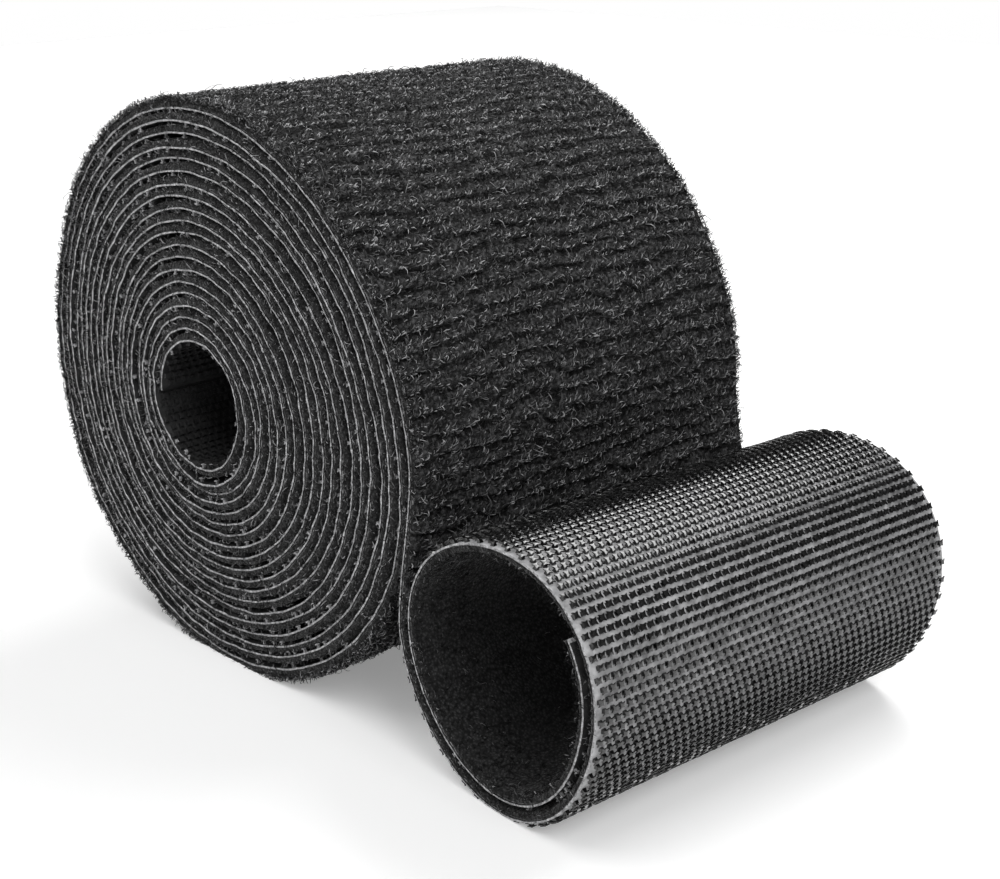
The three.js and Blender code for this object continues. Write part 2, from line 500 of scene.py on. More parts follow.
def add_hooks(name, places, material, loose, head=1.0):
    """Hooks on the film's bare side, at these lengths and places across the tape, with heads so wide."""
    length, side = places
    count = len(length)
    middle, across, out, along = frames_at(length)
    twist = random.normal(0, HOOK_TWIST, count)[:, None]
    lean = random.normal(0, HOOK_LEAN, (count, 2))
    size = random.normal(1, HOOK_SIZE_SPREAD, count)
    foot = middle + out * FILM_INNER + across * side[:, None]
    foot[:, 2] = np.maximum(foot[:, 2], HEAD_ROOM)
    x_way = across * np.cos(twist) + along * np.sin(twist)
    y_way = along * np.cos(twist) - across * np.sin(twist)
    up = (-out + x_way * lean[:, :1] + y_way * lean[:, 1:]) * height_share(foot, out)[:, None]

    def make(piece_name, parts):
        spot, ways_x, ways_y, ways_up, sizes = parts
        scaled = HOOK_POINTS[None] * sizes[:, None, None] * np.array([head, head, 1.0])
        points = spot[:, None] + scaled[..., :1] * ways_x[:, None] + scaled[..., 1:2] * ways_y[:, None]
        points = points + scaled[..., 2:] * ways_up[:, None]
        points[..., 2] = np.maximum(points[..., 2], 0)
        faces = HOOK_TRIANGLES[None] + (np.arange(len(spot)) * len(HOOK_POINTS))[:, None, None]
        faces = [faces.reshape(-1, 3)]
        cells = own_cells(len(spot), HOOK_PLACES)
        return add_mesh(piece_name, points.reshape(-1, 3), faces, [material], smooth=False, places=cells)

    pieces = in_pieces(name, [foot, x_way, y_way, up, size], len(HOOK_TRIANGLES), make)
    dress(pieces, loose)


# Fibres of the nap: thin three-sided strands, which taper by this share
FIBRE_SIDES = 3
FIBRE_TAPER = 0.55

# A strand's stride and height vary by these shares, and its line curls by this share of its reach
STRIDE_SHARES = (0.6, 1.4)
LIFT_SHARES = (0.55, 1.3)
CURL_SHARE = 0.14

# Strands start this deep in their ground and stay this far over the floor
ROOT_DEPTH = 0.05 * MM
STRAND_CLEARANCE = 0.05 * MM

# A free strand follows this much of a wave, up to this share of its height
FREE_WAVE = 1.9
FREE_RISE_SHARE = 1.05

# A strand's own map: its rings widen from its root, at this many steps, to its tip
MAP_TIP_RING = 0.46
MAP_ROOT_STEPS = 0.6


def strand_lines(root, ways, heading, reach, height, free_share, wander, steps):
    """Lines of strands from these roots: most arch back to the fabric as loops, a share ends free."""
    across, out, along = ways
    count = len(root)
    t = np.linspace(0, 1, steps + 1)[None, :]
    turn = heading[:, None] + random.normal(0, wander, count)[:, None] * t
    stride = (reach * random.uniform(*STRIDE_SHARES, count))[:, None] / steps
    to_side = (np.cumsum(np.cos(turn), 1) - np.cos(turn[:, :1])) * stride
    ahead = (np.cumsum(np.sin(turn), 1) - np.sin(turn[:, :1])) * stride
    free = (random.uniform(0, 1, count) < free_share)[:, None]
    rise = np.where(free, np.sin(t * FREE_WAVE) * FREE_RISE_SHARE, np.sin(math.pi * t))
    lift = rise * (height * random.uniform(*LIFT_SHARES, count))[:, None]
    curl = random.normal(0, CURL_SHARE * wander, (count, steps + 1)) * reach[:, None]
    curl[:, 0] = 0
    lines = root[:, None] + across[:, None] * to_side[..., None]
    lines = lines + along[:, None] * (ahead + curl)[..., None] + out[:, None] * (lift - ROOT_DEPTH)[..., None]
    lines[..., 2] = np.maximum(lines[..., 2], STRAND_CLEARANCE)
    return lines


def strand_rings(lines, out, radius):
    """Three corners round each point of the lines, which taper to their ends."""
    t = np.linspace(0, 1, lines.shape[1])[None, :, None]
    ahead = np.gradient(lines, axis=1)
    ahead /= np.maximum(np.linalg.norm(ahead, axis=2, keepdims=True), TINY)
    beside = np.cross(ahead, out[:, None])
    beside /= np.maximum(np.linalg.norm(beside, axis=2, keepdims=True), TINY)
    over = np.cross(beside, ahead)
    thin = (1 - FIBRE_TAPER * t**3) * radius[:, None, None]
    corners = [TURN * corner / FIBRE_SIDES for corner in range(FIBRE_SIDES)]
    rings = np.stack([lines + thin * (beside * math.cos(a) + over * math.sin(a)) for a in corners], 2)
    rings[..., 2] = np.maximum(rings[..., 2], 0)
    return rings


def strand_faces(count, steps):
    """The two end faces of each strand, and the faces along it."""
    per_strand = (steps + 1) * FIBRE_SIDES
    start = (np.arange(count) * per_strand)[:, None]
    end = start + per_strand - FIBRE_SIDES
    caps = np.concatenate([start + np.array([[2, 1, 0]]), end + np.array([[0, 1, 2]])])
    here = np.arange(FIBRE_SIDES)
    after = (here + 1) % FIBRE_SIDES
    corners = np.stack([here, after, after + FIBRE_SIDES, here + FIBRE_SIDES], -1)
    step = (np.arange(steps) * FIBRE_SIDES)[None, :, None, None]
    quads = start[:, :, None, None] + step + corners[None, None]
    return [caps, quads.reshape(-1, 4)]


def add_strands(name, rings, shades, loose):
    """Strands as closed meshes, each in the material of its shade."""
    steps = rings.shape[1] - 1
    spread = [MAP_TIP_RING * (step + MAP_ROOT_STEPS) / (steps + MAP_ROOT_STEPS) for step in range(steps + 1)]
    shape = [around(ring, TURN * corner / FIBRE_SIDES) for ring in spread for corner in range(FIBRE_SIDES)]

    def make(piece_name, parts):
        made, shade = parts
        faces = strand_faces(len(made), steps)
        slots = np.concatenate([shade, shade, np.repeat(shade, steps * FIBRE_SIDES)])
        cells = own_cells(len(made), shape)
        return add_mesh(piece_name, made.reshape(-1, 3), faces, FIBRES, slots, places=cells)

    dress(in_pieces(name, [rings, shades], steps * FIBRE_SIDES * 2 + 2, make), loose)


# Materials: the places on a noise at which a cloudy colour and a grainy one reach their greys
CLOUD_STOPS = (0.3, 0.7)
GRAIN_STOPS = (0.36, 0.5, 0.64)
BLUE_SHARE = 1.02
SHEEN_ROUGHNESS = 0.4


def new_material(name):
    material = bpy.data.materials.new(name)
    material.use_nodes = True
    tree = material.node_tree
    return material, tree, tree.nodes["Principled BSDF"]


def add_node(tree, kind, **values):
    """A node with these values in its inputs, or in its own settings."""
    node = tree.nodes.new(kind)
    for key, value in values.items():
        if key in node.inputs:
            node.inputs[key].default_value = value
        else:
            setattr(node, key, value)
    return node


def place_texture(tree, kind, scale, **values):
    """A texture in the object's own coordinates, scale in repeats a metre."""
    coordinates = add_node(tree, "ShaderNodeTexCoord")
    texture = add_node(tree, kind, **values)
    texture.inputs["Scale"].default_value = scale
    tree.links.new(coordinates.outputs["Object"], texture.inputs["Vector"])
    return texture


def colour_from(tree, texture, shader, stops, greys):
    ramp = add_node(tree, "ShaderNodeValToRGB")
    elements = ramp.color_ramp.elements
    while len(elements) < len(stops):
        elements.new(0.5)
    for element, place, grey in zip(elements, stops, greys):
        element.position = place
        element.color = (grey, grey, grey * BLUE_SHARE, 1)
    tree.links.new(texture.outputs[0], ramp.inputs["Fac"])
    tree.links.new(ramp.outputs["Color"], shader.inputs["Base Color"])


def bump_from(tree, texture, shader, strength, distance):
    node = add_node(tree, "ShaderNodeBump", Strength=strength, Distance=distance)
    tree.links.new(texture.outputs[0], node.inputs["Height"])
    tree.links.new(node.outputs["Normal"], shader.inputs["Normal"])


def set_finish(shader, roughness, specular, sheen=0.0):
    shader.inputs["Roughness"].default_value = roughness
    shader.inputs["Specular IOR Level"].default_value = specular
    shader.inputs["Sheen Weight"].default_value = sheen
    shader.inputs["Sheen Roughness"].default_value = SHEEN_ROUGHNESS


def cloudy_material(name, greys, roughness, specular, scale, detail):
    """A plain material whose grey wanders a little."""
    material, tree, shader = new_material(name)
    clouds = place_texture(tree, "ShaderNodeTexNoise", scale, Detail=detail)
    colour_from(tree, clouds, shader, CLOUD_STOPS, greys)
    set_finish(shader, roughness, specular)
    return material, tree, shader


def film_material(name, greys, roughness, specular):
    """Smooth moulded film, a little wavy between the hooks."""
    material, tree, shader = cloudy_material(name, greys, roughness, specular, scale=900, detail=4)
    waves = place_texture(tree, "ShaderNodeTexNoise", scale=1400, Detail=3)
    bump_from(tree, waves, shader, strength=0.35, distance=0.05 * MM)
    return material


def hook_material(name, greys, roughness, specular):
    return cloudy_material(name, greys, roughness, specular, scale=1200, detail=3)[0]


def fibre_material(name, greys, roughness, specular):
    return cloudy_material(name, greys, roughness, specular, scale=1100, detail=2)[0]


def film_edge_material():
    """The film's slit edge, paler and rough."""
    material, tree, shader = new_material("film_edge")
    grain = place_texture(tree, "ShaderNodeTexNoise", scale=2600, Detail=6, Roughness=0.75)
    colour_from(tree, grain, shader, GRAIN_STOPS, greys=(0.1, 0.36, 0.72))
    bump_from(tree, grain, shader, strength=0.7, distance=0.08 * MM)
    set_finish(shader, roughness=0.5, specular=0.4)
    return material


def ground_material():
    """The fabric's packed pile: loops too close to be told apart."""
    material, tree, shader = new_material("loop_fabric_ground")
    knit = place_texture(tree, "ShaderNodeTexVoronoi", scale=3200)
    colour_from(tree, knit, shader, stops=(0.0, 0.5, 0.9), greys=(0.058, 0.016, 0.005))
    bump_from(tree, knit, shader, strength=0.9, distance=0.15 * MM)
    set_finish(shader, roughness=0.8, specular=0.25, sheen=0.2)
    return material


def pad_material(name, greys):
    """The thick of the nap between its single loops."""
    material, tree, shader = new_material(name)
    grain = place_texture(tree, "ShaderNodeTexNoise", scale=2600, Detail=5, Roughness=0.65)
    colour_from(tree, grain, shader, GRAIN_STOPS, greys)
    bump_from(tree, grain, shader, strength=0.8, distance=0.15 * MM)
    set_finish(shader, roughness=0.7, specular=0.1)
    return material


# The film face is light grey: partly the film's own dark tone and partly painted sheen of the room's light
FILM_FACE_AND_SHEEN = film_material("film_face_and_sheen", greys=(0.18, 0.53), roughness=0.42, specular=0.6)
# A darker, duller copy of the film: painted shade for its inner faces under other turns and in the bore
FILM_PAINTED_SHADE = film_material("film_painted_shade", greys=(0.015, 0.026), roughness=0.5, specular=0.15)
FILM_EDGE = film_edge_material()
HOOK = hook_material("hook_head", greys=(0.001, 0.003), roughness=0.18, specular=1.0)
# A dull copy of the hook material for the hooks in the bore: painted shade, matched to the film's painted
# shade there
HOOK_BORE_SHADE = hook_material("hook_bore_painted_shade", greys=(0.018, 0.03), roughness=0.45, specular=0.15)
# A paler copy of the black hook material: painted light and painted glints on hooks seen side-on at the edges
HOOK_PAINTED_LIGHT = hook_material("hook_side_painted_light", greys=(0.06, 0.55), roughness=0.4, specular=0.12)
GROUND = ground_material()
# The second pad material is a darker copy for the furrows: painted shade
PADS = [
    pad_material("nap_rib", greys=(0.006, 0.026, 0.08)),
    pad_material("nap_furrow_painted_shade", greys=(0.001, 0.005, 0.022)),
]
# Fibres in three shades: the dark one is the nap's own black, the middle one partly its own tone and partly
# painted sheen, the light one painted glints
FIBRES = [
    fibre_material("fibre_dark", greys=(0.003, 0.014), roughness=0.5, specular=0.2),
    fibre_material("fibre_middle", greys=(0.07, 0.155), roughness=0.4, specular=0.55),
    fibre_material("fibre_light_painted_glint", greys=(0.24, 0.5), roughness=0.35, specular=0.8),
]

# The plies, whose materials stand in the order of their slots. All hooks are drawn from the tape's tip round
# the bore, and from where it leaves the roll to a little past the small coil's outer turn.
BORE_TURNS = 1.3
HOOK_OVERRUN = 5 * MM
FILM_ROUGH_WOUND = 0.03 * MM
FILM_ROUGH_LOOSE = 0.02 * MM
FABRIC_ROUGH = 0.06 * MM
BORE_LENGTH = BORE_TURNS * TURN * BORE_RADIUS
OUTER_COIL_END = COIL_FOOT_LENGTH + (END_LENGTH - COIL_FOOT_LENGTH) * TURN / COIL_TURNED + HOOK_OVERRUN
FILMS = [FILM_FACE_AND_SHEEN, FILM_EDGE, FILM_PAINTED_SHADE, GROUND]
ROLL = (0, PEEL_INDEX)
TAIL = (PEEL_INDEX, LAST_INDEX)
ALL_WOUND = (0, PEEL_LENGTH)
INNER_COIL = (OUTER_COIL_END, END_LENGTH)

# The film's inner faces under other turns, over the whole roll and inside the small coil, take its painted
# shade
film_roll = ribbon("film_roll", *ROLL, FILM_PROFILE, FILM_ROUGH_WOUND, FILMS, ALL_WOUND)
film_tail = ribbon("film_tail", *TAIL, FILM_PROFILE, FILM_ROUGH_LOOSE, FILMS, INNER_COIL, HEAD_ROOM)
fabric_roll = ribbon("fabric_roll", *ROLL, FABRIC_PROFILE, FABRIC_ROUGH, [GROUND])
fabric_tail = ribbon("fabric_tail", *TAIL, FABRIC_PROFILE, FABRIC_ROUGH, [GROUND])
dress([film_roll], False)
dress([film_tail], True)
dress([fabric_roll], False)
dress([fabric_tail], True)
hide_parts("roll_hook_film")
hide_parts("tail_hook_film")
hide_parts("roll_loop_fabric")
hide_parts("tail_loop_fabric")

# Hooks stand in rows, every other row half a step across
HOOK_STEP = 1 * MM
HOOK_ROW = 0.97 * MM
HOOK_MARGINS = (0.47 * MM, 0.3 * MM)

# Beside the edges some hooks were cut off: the share left, their insets in millimetres, their heads' width
EDGE_HOOK_SHARE = 0.35
EDGE_HOOK_INSETS = (0.2, 0.7)
EDGE_HOOK_HEAD = 0.6

# The tape's tips are bare for so long
TIP_MARGIN = 0.4 * MM
BORE_EDGE_MARGIN = 1 * MM


def hook_rows(start, end):
    return np.arange(math.ceil(start / HOOK_ROW), math.floor(end / HOOK_ROW) + 1)


def hook_grid(start, end):
    """Lengths and places across of all hooks between two lengths."""
    lengths, sides = [], []
    for row in hook_rows(start, end):
        side = HOOK_MARGINS[0] - HALF + (HOOK_STEP / 2 if row % 2 else 0)
        while side <= HALF - HOOK_MARGINS[1]:
            lengths.append(row * HOOK_ROW)
            sides.append(side)
            side += HOOK_STEP
    return np.array(lengths), np.array(sides)


def edge_hooks(start, end):
    """Hooks close beside the two edges, where the turns of the winding hide the rest."""
    rows = hook_rows(start, end) * HOOK_ROW
    lengths, sides = np.tile(rows, 2), np.repeat([-1.0, 1.0], len(rows))
    keep = random.uniform(0, 1, len(lengths)) < EDGE_HOOK_SHARE
    inset = random.uniform(*EDGE_HOOK_INSETS, len(lengths)) * MM
    return lengths[keep], (sides * (HALF - inset))[keep]


# The hooks beside the edges take the paler copy of the hook material: painted light on their sides
def add_edge_hooks(name, start, end, loose):
    add_hooks(name, edge_hooks(start, end), HOOK_PAINTED_LIGHT, loose, EDGE_HOOK_HEAD)


# The hooks in the bore take the hook material's painted shade
add_hooks("hooks_bore", hook_grid(TIP_MARGIN, BORE_LENGTH), HOOK_BORE_SHADE, loose=False)
add_edge_hooks("hooks_roll_edge", BORE_LENGTH, PEEL_LENGTH, loose=False)
add_edge_hooks("hooks_bore_edge", BORE_EDGE_MARGIN, BORE_LENGTH, loose=False)
add_hooks("hooks_coil", hook_grid(PEEL_LENGTH, OUTER_COIL_END), HOOK, loose=True)
add_edge_hooks("hooks_coil_edge", OUTER_COIL_END, END_LENGTH - TIP_MARGIN, loose=True)

# The nap lies in low ribs across the tape
RIB_STEP = 2 * MM
RIB_HEIGHT = 0.6 * MM
RIB_SKEW = 0.8
RIB_OVERHANG = 0.85
NAP_BASE = 0.08 * MM
NAP_EDGE = 0.35 * MM
CLUMP_HEIGHT = 0.16 * MM

# Smooth noises: their sizes along and across the tape, and their seeds. The ribs wander by shares of their
# step, and their strength has a mean and a spread.
NOISE_SIZE = 256
RIB_DRIFTS = [(0.45, (8 * MM, 9 * MM, 1)), (0.32, (2.4 * MM, 2.8 * MM, 2))]
STRENGTH_NOISE = (2.1 * MM, 2.9 * MM, 3)
CLUMP_NOISE = (0.8 * MM, 1.1 * MM, 4)
PATCH_NOISE = (1.6 * MM, 2.2 * MM, 5)
RIB_STRENGTH = (0.7, 0.3)

# The ribs flatten on top of the roll, and the nap thins out at its start and towards the small coil
TOP_FLATTENING = 0.5
TOP_REACH = 20 * MM
START_FADE = 12 * MM
FOOT_FADE = 6 * MM


def value_noise(length, side, noise):
    """Smooth random values from -1 to 1, a new one at each step along and across."""
    along, across, seed = noise
    values = np.random.default_rng(seed).uniform(-1, 1, (NOISE_SIZE, NOISE_SIZE))
    u = length / along
    v = side / across
    low_u = np.floor(u).astype(int)
    low_v = np.floor(v).astype(int)
    part_u = ease(u - low_u)
    part_v = ease(v - low_v)
    total = 0
    for step_u, share_u in ((0, 1 - part_u), (1, part_u)):
        for step_v, share_v in ((0, 1 - part_v), (1, part_v)):
            corner = values[(low_u + step_u) % NOISE_SIZE, (low_v + step_v) % NOISE_SIZE]
            total = total + corner * share_u * share_v
    return total


def rib_share(length, side):
    """0 in a furrow, 1 on a rib. The ribs wander and break every few millimetres."""
    drift = sum(share * value_noise(length, side, noise) for share, noise in RIB_DRIFTS)
    phase = TURN * (length / RIB_STEP + drift)
    return 0.5 + 0.5 * np.sin(phase - RIB_SKEW * np.sin(phase))


def nap_height(length, side):
    """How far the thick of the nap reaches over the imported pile."""
    strength = RIB_STRENGTH[0] + RIB_STRENGTH[1] * value_noise(length, side, STRENGTH_NOISE)
    strength *= 1 - TOP_FLATTENING * np.exp(-(((length - TOP_LENGTH) / TOP_REACH) ** 2))
    clumps = value_noise(length, side, CLUMP_NOISE)
    height = NAP_BASE + RIB_HEIGHT * rib_share(length, side) * strength + CLUMP_HEIGHT * clumps
    edge = np.sqrt(np.clip((HALF - np.abs(side)) / NAP_EDGE, 0, 1))
    from_start = np.clip((length - OUTER_TURN_START) / START_FADE, 0, 1)
    from_foot = np.clip((COIL_FOOT_LENGTH - length) / FOOT_FADE, 0, 1)
    return np.maximum(height * edge, 0) * np.sqrt(from_start * from_foot)


def nap_top(length, side):
    """Places on the thick of the nap, whose ribs hang over towards the tape's end, and the ways there."""
    middle, across, out, along = frames_at(length)
    height = nap_height(length, side)[:, None]
    place = middle + across * side[:, None] + out * (PILE_TOP + height) + along * RIB_OVERHANG * height
    return place, (across, out, along)


# The thick of the nap: its mesh's steps along and across, the share of the rib profile whose faces get
# painted shade as furrows, and its ragged limit
PAD_STEP = (0.25 * MM, 0.48 * MM)
SHADED_FURROW_SHARE = 0.14
SHADED_FURROW_RAGGED = 0.1


def pad_faces(rows, columns):
    """The pad's top, bottom, walls and end faces. The points of its two feet follow those of its top."""
    left = np.arange(rows) * columns
    right = left + columns - 1
    left_foot = rows * columns + np.arange(rows)
    right_foot = left_foot + rows
    corner = (left[:-1, None] + np.arange(columns - 1)[None, :]).reshape(-1)
    top = np.stack([corner, corner + columns, corner + columns + 1, corner + 1], 1)
    bottom = np.stack([left_foot[:-1], right_foot[:-1], right_foot[1:], left_foot[1:]], 1)
    left_wall = np.stack([left_foot[:-1], left_foot[1:], left[1:], left[:-1]], 1)
    right_wall = np.stack([right_foot[:-1], right[:-1], right[1:], right_foot[1:]], 1)
    first_cap = [left_foot[0], *range(left[0], right[0] + 1), right_foot[0]]
    last_cap = [right_foot[-1], *reversed(range(left[-1], right[-1] + 1)), left_foot[-1]]
    return [top, bottom, left_wall, right_wall, np.array([first_cap, last_cap])]


def add_pad(name, start, end, loose):
    """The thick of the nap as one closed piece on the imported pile."""
    rows = int((end - start) / PAD_STEP[0]) + 1
    columns = int(TAPE_WIDTH / PAD_STEP[1]) + 1
    length = np.repeat(np.linspace(start, end, rows), columns)
    side = np.tile(np.linspace(-HALF, HALF, columns), rows)
    middle, across, out, _ = frames_at(length)
    foot = middle + across * side[:, None] + out * PILE_FOOT
    points = np.concatenate([nap_top(length, side)[0], foot[::columns], foot[columns - 1::columns]])
    points[:, 2] = np.maximum(points[:, 2], 0)
    faces = pad_faces(rows, columns)
    corner = faces[0][:, 0]
    ragged = random.normal(0, SHADED_FURROW_RAGGED, len(corner))
    slots = np.zeros(sum(len(part) for part in faces), int)
    # Faces in the furrows take the darker pad material as painted shade
    slots[: len(corner)] = rib_share(length, side)[corner] + ragged < SHADED_FURROW_SHARE
    dress([add_mesh(name, points, faces, PADS, slots)], loose)


def scatter(start, end, low, high, density):
    """Random places between two lengths and two places across, so many a square millimetre."""
    count = int((end - start) * (high - low) * density / MM**2)
    return random.uniform(start, end, count), random.uniform(low, high, count)


def shades_of(count, dark, middle):
    """Random shades: these shares are dark and middle, the rest light, which stand for painted glints."""
    pick = random.uniform(0, 1, count)
    return (pick > dark).astype(int) + (pick > dark + middle)


# Strokes: loops that lean one way on the ribs, from the tape's across towards its along
STROKE_HEADING = math.radians(-26)
STROKE_SPREAD = math.radians(24)
STROKE_DENSITY = 20
STROKE_REACH = 0.55 * MM
STROKE_HEIGHT = 0.18 * MM
STROKE_RADIUS = 0.062 * MM
STROKE_RADIUS_SHARES = (0.6, 1.3)
STROKE_FREE_SHARE = 0.12
STROKE_WANDER = 0.3
STROKE_STEPS = 2

# The share of strokes in the furrows and in the thin patches of the ribs, their dark and middle shares, and
# how much less the dark one is on the ribs: painted highlight on the ribs and painted shade in the furrows
FURROW_STROKES = 0.2
PATCH_STROKES = 0.35
STROKE_SHADES = (0.7, 0.32)
RIB_PAINTED_LIGHT = 0.25

# Fuzz: loops in every direction, by their height in millimetres. Strays are the longest of them.
FUZZ_RADIUS = 0.04 * MM
EDGE_FUZZ_RADIUS = 0.042 * MM
FUZZ_RADIUS_SHARES = (0.7, 1.3)
FUZZ_REACH_SHARE = 2.1
EDGE_FUZZ_REACH_SHARE = 1.6
FUZZ_FREE_SHARE = 0.4
EDGE_FUZZ_FREE_SHARE = 0.5
FUZZ_WANDER = 0.7
FUZZ_STEPS = 3
FUZZ_SHADES = (0.65, 0.25)
NAP_FUZZ = [("fuzz", 2.5, (0.2, 0.4)), ("stray", 0.2, (0.4, 0.8))]

# Inside the small coil the fuzz is short and dark, and close only near the two ends
LINING_NEAR = 7 * MM
LINING_HEIGHTS = (0.15, 0.35)
LINING_SHADES = (0.95, 0.05)
LINING_DENSITIES = (5, 1.2)


def add_strokes(name, length, side, loose):
    """Loops on the ribs, combed one way, painted paler than the few in the furrows: painted highlight on the
    ribs, painted shade in the furrows.
    """
    rib = rib_share(length, side)
    patch = 0.5 + 0.5 * value_noise(length, side, PATCH_NOISE)
    on_rib = rib**2 * (PATCH_STROKES + (1 - PATCH_STROKES) * patch)
    keep = random.uniform(0, 1, len(length)) < FURROW_STROKES + (1 - FURROW_STROKES) * on_rib
    length, side, rib = length[keep], side[keep], rib[keep]
    count = len(length)
    root, ways = nap_top(length, side)
    heading = random.normal(STROKE_HEADING, STROKE_SPREAD, count)
    reach = np.full(count, STROKE_REACH)
    height = np.full(count, STROKE_HEIGHT)
    radius = STROKE_RADIUS * random.uniform(*STROKE_RADIUS_SHARES, count)
    lines = strand_lines(root, ways, heading, reach, height, STROKE_FREE_SHARE, STROKE_WANDER, STROKE_STEPS)
    shades = shades_of(count, STROKE_SHADES[0] - RIB_PAINTED_LIGHT * rib, STROKE_SHADES[1])
    add_strands(name, strand_rings(lines, ways[1], radius), shades, loose)


def add_fuzz(name, root, ways, height, shades, loose):
    """Loops in every direction from these roots."""
    count = len(root)
    heading = random.uniform(0, TURN, count)
    radius = FUZZ_RADIUS * random.uniform(*FUZZ_RADIUS_SHARES, count)
    reach = FUZZ_REACH_SHARE * height
    lines = strand_lines(root, ways, heading, reach, height, FUZZ_FREE_SHARE, FUZZ_WANDER, FUZZ_STEPS)
    add_strands(name, strand_rings(lines, ways[1], radius), shades, loose)


def add_nap(part, start, end, loose):
    """All of the nap on a stretch that faces outwards."""
    add_pad(f"nap_pad_{part}", start, end, loose)
    add_strokes(f"nap_strokes_{part}", *scatter(start, end, -HALF, HALF, STROKE_DENSITY), loose)
    for kind, density, heights in NAP_FUZZ:
        length, side = scatter(start, end, -HALF, HALF, density)
        height = random.uniform(*heights, len(length)) * MM
        shades = shades_of(len(length), *FUZZ_SHADES)
        add_fuzz(f"nap_{kind}_{part}", *nap_top(length, side), height, shades, loose)


def add_lining(name, low, high, density):
    """The nap inside the small coil."""
    length, side = scatter(INNER_COIL_START, END_LENGTH, low, high, density)
    middle, across, out, along = frames_at(length)
    root = middle + across * side[:, None] + out * (PILE_TOP - ROOT_DEPTH)
    height = random.uniform(*LINING_HEIGHTS, len(length)) * MM
    add_fuzz(name, root, (across, out, along), height, shades_of(len(length), *LINING_SHADES), loose=True)


add_nap("roll", OUTER_TURN_START, PEEL_LENGTH, loose=False)
add_nap("strip", PEEL_LENGTH, COIL_FOOT_LENGTH, loose=True)
add_lining("nap_coil_front", -HALF, LINING_NEAR - HALF, LINING_DENSITIES[0])
add_lining("nap_coil_back", HALF - LINING_NEAR, HALF, LINING_DENSITIES[0])
add_lining("nap_coil_inside", LINING_NEAR - HALF, HALF - LINING_NEAR, LINING_DENSITIES[1])

# Fibres along the tape's edges lean out of the end faces, and most stand close to the edge: the root of the
# deepest inset in millimetres, how far they point off the tape, and how far out of the end face
EDGE_INSET_ROOT = 0.8
EDGE_LIFT = 0.35
EDGE_OUTWARD = (0.1, 1)

# The nap's edges start this far along the outer turn, and the far side of the roll's outline lies between
# these angles of a turn
EDGE_NAP_START = 15 * MM
SIDE_ANGLES = (4.2, 2.2)


def add_edge_fuzz(name, stretch, side_sign, density, depths, heights, shades, loose):
    """Pile that shows along the tape's edges, between one turn and the next."""
    count = int((stretch[1] - stretch[0]) * density / MM)
    length = random.uniform(*stretch, count)
    middle, across, out, along = frames_at(length)
    inset = random.uniform(0, EDGE_INSET_ROOT, count) ** 2 * MM
    depth = random.uniform(*depths, count)
    root = middle + out * depth[:, None] + across * (side_sign * (HALF - inset))[:, None]
    lean = EDGE_LIFT * out + across * side_sign * random.uniform(*EDGE_OUTWARD, count)[:, None]
    lean /= np.linalg.norm(lean, axis=1, keepdims=True)
    heading = random.uniform(0, TURN, count)
    height = random.uniform(*heights, count)
    radius = EDGE_FUZZ_RADIUS * random.uniform(*FUZZ_RADIUS_SHARES, count)
    reach = EDGE_FUZZ_REACH_SHARE * height
    ways = (out, lean, along)
    lines = strand_lines(root, ways, heading, reach, height, EDGE_FUZZ_FREE_SHARE, FUZZ_WANDER, FUZZ_STEPS)
    add_strands(name, strand_rings(lines, lean, radius), shades_of(count, *shades), loose)


def side_stretch(turn):
    """The tape on the far side of the roll's outline, so many turns in from the outermost."""
    return length_at(turn * TURN + SIDE_ANGLES[0]), length_at(turn * TURN + SIDE_ANGLES[1])


OUTER_NAP = (OUTER_TURN_START + EDGE_NAP_START, PEEL_LENGTH)
HANGING = (PEEL_LENGTH, COIL_FOOT_LENGTH)
COILED = (COIL_FOOT_LENGTH, END_LENGTH)
PILE_DEPTHS = (0.06 * MM, PILE_TOP + 0.25 * MM)
NAP_DEPTHS = (PILE_TOP, PILE_TOP + 0.55 * MM)
SIDE_DEPTHS = (-0.5 * MM, PILE_TOP)
SHORT = (0.1 * MM, 0.28 * MM)
LONG = (0.12 * MM, 0.42 * MM)

# A stretch, its fibres a millimetre, their depths and heights, their dark and middle shares, and whether it
# belongs to the loose end
EDGE_FUZZ = [
    ("roll", ALL_WOUND, 8.5, PILE_DEPTHS, LONG, (0.55, 0.35), False),
    ("nap", OUTER_NAP, 22.0, NAP_DEPTHS, SHORT, (0.5, 0.4), False),
    ("side_0", side_stretch(0), 18.0, SIDE_DEPTHS, LONG, (0.5, 0.42), False),
    ("side_1", side_stretch(1), 18.0, SIDE_DEPTHS, LONG, (0.5, 0.42), False),
    ("hanging", HANGING, 9.0, PILE_DEPTHS, LONG, (0.6, 0.3), True),
    ("coil", COILED, 11.0, PILE_DEPTHS, SHORT, (0.75, 0.22), True),
]

for end_side, end_name in ((-1, "front"), (1, "back")):
    for part, stretch, density, depths, heights, shades, loose in EDGE_FUZZ:
        add_edge_fuzz(f"fuzz_{part}_{end_name}", stretch, end_side, density, depths, heights, shades, loose)

# The stage, in metres and watts. Its room is bright in front and dark behind.
FLOOR_HALF = 0.65
FLOOR_GREY = 0.9
FLOOR_GLOW = 0.25
WHITE = (1, 1, 1, 1)
BLACK = (0, 0, 0, 1)
ROOM_FRONT = {"From Min": -1.0, "To Min": 0.66}
ROOM_BACK = {"From Max": 0.8, "To Max": 0.05}
LAMPS_AIM = (0, 0, 0.03)


